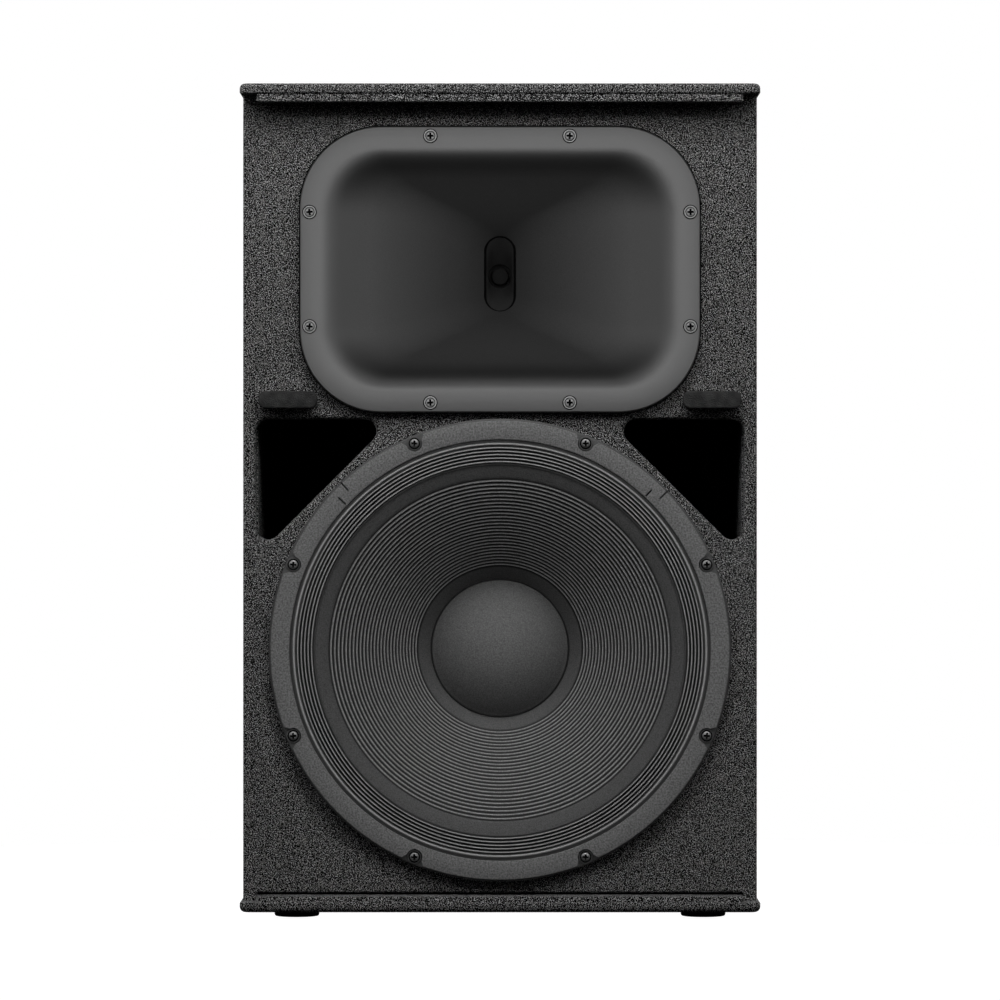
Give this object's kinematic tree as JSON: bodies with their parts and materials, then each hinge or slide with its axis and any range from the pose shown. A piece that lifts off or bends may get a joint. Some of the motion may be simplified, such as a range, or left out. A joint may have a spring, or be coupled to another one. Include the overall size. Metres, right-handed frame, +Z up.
{
  "type": "pa speaker cabinet",
  "caption": "Ported two-way loudspeaker cabinet for live sound, with a ribbed-cone woofer under a rectangular horn, side handles, a pole socket and its grille taken off.",
  "frame": {"origin": "on the floor under the middle of the cabinet, at the bottom of its feet", "axes": "+Z up, -Y towards the listener (out of the baffle), +X to the right as seen from the front"},
  "size_m": [0.435, 0.413, 0.699],
  "materials": {
    "textured_paint": "coarse speckled polyurea paint on birch plywood",
    "stained_board": "birch plywood stained flat black",
    "handle_plastic": "fine textured moulding",
    "black_rubber": "matte",
    "pad_foam": "open cell foam",
    "black_steel": "satin black",
    "bright_steel": "zinc plated",
    "ferrite": "ground ceramic magnet, dark grey",
    "horn_plastic": "fine matte moulding",
    "cast_frame": "black powder coat on die-cast aluminium",
    "gasket": "cork and rubber sheet, matte",
    "treated_cloth": "doped woven cloth",
    "cone_paper": "pressed fibre with fine concentric ribs",
    "coil_metal": "wound wire and thin formed metal",
    "moulded_plastic": "satin moulding",
    "filter_board": "printed board with coils and capacitors"
  },
  "bodies": {
    "cabinet": {"top_panel": "textured_paint", "bottom_panel": "textured_paint", "side_panel_left": "textured_paint", "side_panel_right": "textured_paint", "rear_side_left": "textured_paint", "rear_side_right": "textured_paint", "back_panel": "textured_paint", "baffle": "textured_paint", "shelf_brace": "stained_board", "port_board_left": "stained_board", "port_board_right": "stained_board", "handle_cup_left": "handle_plastic", "handle_cup_right": "handle_plastic", "handle_bar_left": "black_rubber", "handle_bar_right": "black_rubber", "foot_front_left": "black_rubber", "foot_front_right": "black_rubber", "foot_rear_left": "black_rubber", "foot_rear_right": "black_rubber", "pole_socket": "black_steel", "grille_pad_left": "pad_foam", "grille_pad_right": "pad_foam", "horn": "horn_plastic", "hf_front_plate": "black_steel", "hf_magnet": "ferrite", "hf_top_plate": "black_steel", "hf_rear_cover": "black_steel", "woofer_frame": "cast_frame", "woofer_gasket": "gasket", "woofer_surround": "treated_cloth", "woofer_spider": "treated_cloth", "woofer_top_plate": "black_steel", "woofer_magnet": "ferrite", "woofer_back_plate": "black_steel", "horn_screw_1": "bright_steel", "horn_screw_2": "bright_steel", "horn_screw_3": "bright_steel", "horn_screw_4": "bright_steel", "horn_screw_5": "bright_steel", "horn_screw_6": "bright_steel", "horn_screw_7": "bright_steel", "horn_screw_8": "bright_steel", "woofer_screw_1": "black_steel", "woofer_screw_2": "black_steel", "woofer_screw_3": "black_steel", "woofer_screw_4": "black_steel", "woofer_screw_5": "black_steel", "woofer_screw_6": "black_steel", "woofer_screw_7": "black_steel", "woofer_screw_8": "black_steel", "input_plate": "black_steel", "socket_input": "moulded_plastic", "socket_link": "moulded_plastic", "crossover_board": "filter_board"},
    "woofer_cone_assembly": {"woofer_cone": "cone_paper", "woofer_dust_cap": "cone_paper", "woofer_voice_coil": "coil_metal"},
    "hf_dome": {"hf_diaphragm": "coil_metal"},
    "mode_knob": {"mode_knob": "moulded_plastic"}
  },
  "joints": [
    {"name": "woofer_travel", "type": "slide", "parent": "cabinet", "child": "woofer_cone_assembly", "axis": [0, -1, 0], "range_m": [-0.007, 0.007], "stiffness_N_per_m": 6500, "deforming": ["woofer_surround", "woofer_spider"]},
    {"name": "hf_dome_travel", "type": "slide", "parent": "cabinet", "child": "hf_dome", "axis": [0, -1, 0], "range_m": [-0.0004, 0.0004], "stiffness_N_per_m": 20000},
    {"name": "mode_knob_turn", "type": "hinge", "parent": "cabinet", "child": "mode_knob", "pos_m": [0, 0.2, 0.17], "axis": [0, 1, 0], "range_deg": [0, 90]}
  ]
}
